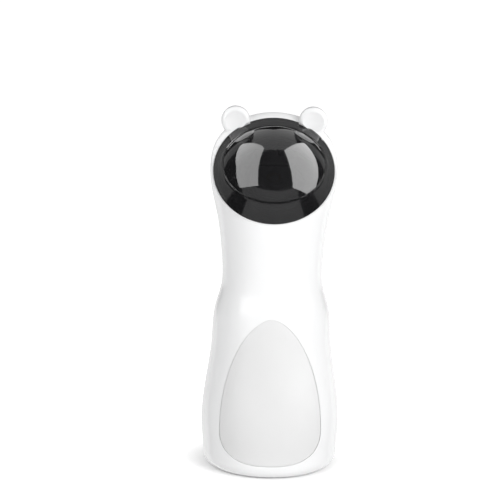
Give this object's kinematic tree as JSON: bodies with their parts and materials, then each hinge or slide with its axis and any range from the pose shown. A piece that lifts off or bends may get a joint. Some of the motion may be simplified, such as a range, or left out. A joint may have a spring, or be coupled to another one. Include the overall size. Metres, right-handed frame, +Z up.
{
  "type": "automatic cat laser toy",
  "caption": "Free-standing bear-shaped laser toy for cats: a smoked dome hides a fixed laser under a motor-driven nodding mirror; speed switch and battery door at the back.",
  "frame": {"origin": "on the floor under the middle of the base", "axes": "+Z up through the body, -Y out of the face and its dome, +X to the toy's left"},
  "size_m": [0.085, 0.0846, 0.2223],
  "materials": {
    "belly_satin": "satin moulded ABS",
    "black_plastic": "fine spark texture",
    "black_rubber": "soft matte",
    "board_green": "solder mask",
    "brass": "turned",
    "cell_wrap": "shrink sleeve",
    "chip_black": "moulded package",
    "clear_lens": "polished",
    "gear_white": "acetal",
    "grey_plastic": "moulded",
    "lamp_clear": "frosted light pipe",
    "mirror_glass": "first surface",
    "motor_can": "drawn can",
    "nickel": "nickel plate",
    "smoked_dome": "polished smoked polycarbonate, see-through in strong light",
    "steel": "bright zinc",
    "white_shell": "glossy moulded ABS"
  },
  "bodies": {
    "housing": {"front_shell": "white_shell", "rear_shell": "white_shell", "belly_panel": "belly_satin", "visor_dome": "smoked_dome", "visor_gasket": "black_rubber", "dome_baffle": "black_plastic", "base_plate": "grey_plastic", "rubber_foot": "black_rubber", "base_screws": "steel", "shell_screws": "steel", "battery_tray": "black_plastic", "battery_cells": "cell_wrap", "contact_plates": "nickel", "contact_springs": "nickel", "tray_screws": "steel", "control_board": "board_green", "board_chips": "chip_black", "board_screws": "steel", "usb_socket": "nickel", "switch_housing": "nickel", "status_lamp": "lamp_clear", "mechanism_chassis": "black_plastic", "chassis_screws": "steel", "gear_plate": "black_plastic", "gear_plate_screws": "steel", "motor": "motor_can", "motor_screws": "steel", "idler_pin": "steel", "laser_holder": "grey_plastic", "turret_clip": "steel", "laser_barrel": "brass", "laser_lens": "clear_lens", "laser_driver": "board_green", "cam_ring": "grey_plastic"},
    "turret": {"turret": "grey_plastic", "turret_gear": "gear_white"},
    "idler": {"idler_gear": "gear_white"},
    "drive": {"motor_shaft": "steel", "motor_pinion": "gear_white"},
    "mirror_frame": {"mirror_frame": "grey_plastic", "mirror": "mirror_glass", "mirror_spring": "steel"},
    "roller": {"follower_roller": "gear_white"},
    "speed_switch": {"switch_knob": "black_plastic"},
    "battery_door": {"battery_door": "white_shell", "door_screw": "steel"}
  },
  "joints": [
    {"name": "turret_pan", "type": "hinge", "parent": "housing", "child": "turret", "pos_m": [0, -0.0033, 0.1763], "axis": [0, -0.6157, 0.788], "continuous": true},
    {"name": "idler_spin", "type": "hinge", "parent": "housing", "child": "idler", "pos_m": [0.00932, -0.01603, 0.16636], "axis": [0, -0.6157, 0.788], "continuous": true},
    {"name": "motor_spin", "type": "hinge", "parent": "housing", "child": "drive", "pos_m": [-0.00453, -0.01603, 0.16636], "axis": [0, -0.6157, 0.788], "continuous": true},
    {"name": "mirror_nod", "type": "hinge", "parent": "turret", "child": "mirror_frame", "pos_m": [0, -0.0125, 0.19132], "axis": [1, 0, 0], "range_deg": [-7, 0], "stiffness_Nm_per_rad": 0.004},
    {"name": "roller_spin", "type": "hinge", "parent": "mirror_frame", "child": "roller", "pos_m": [0, 0.00704, 0.19263], "axis": [0, 0.788, 0.6157], "continuous": true},
    {"name": "speed_slide", "type": "slide", "parent": "housing", "child": "speed_switch", "axis": [1, 0, 0], "range_m": [-0.002, 0.002]},
    {"name": "battery_door_off", "type": "slide", "parent": "housing", "child": "battery_door", "axis": [0, 1, 0], "range_m": [0, 0.02]}
  ],
  "couplings": [
    {"joint": "idler_spin", "follows": "turret_pan", "ratio": -4.1667},
    {"joint": "motor_spin", "follows": "turret_pan", "ratio": 15}
  ]
}
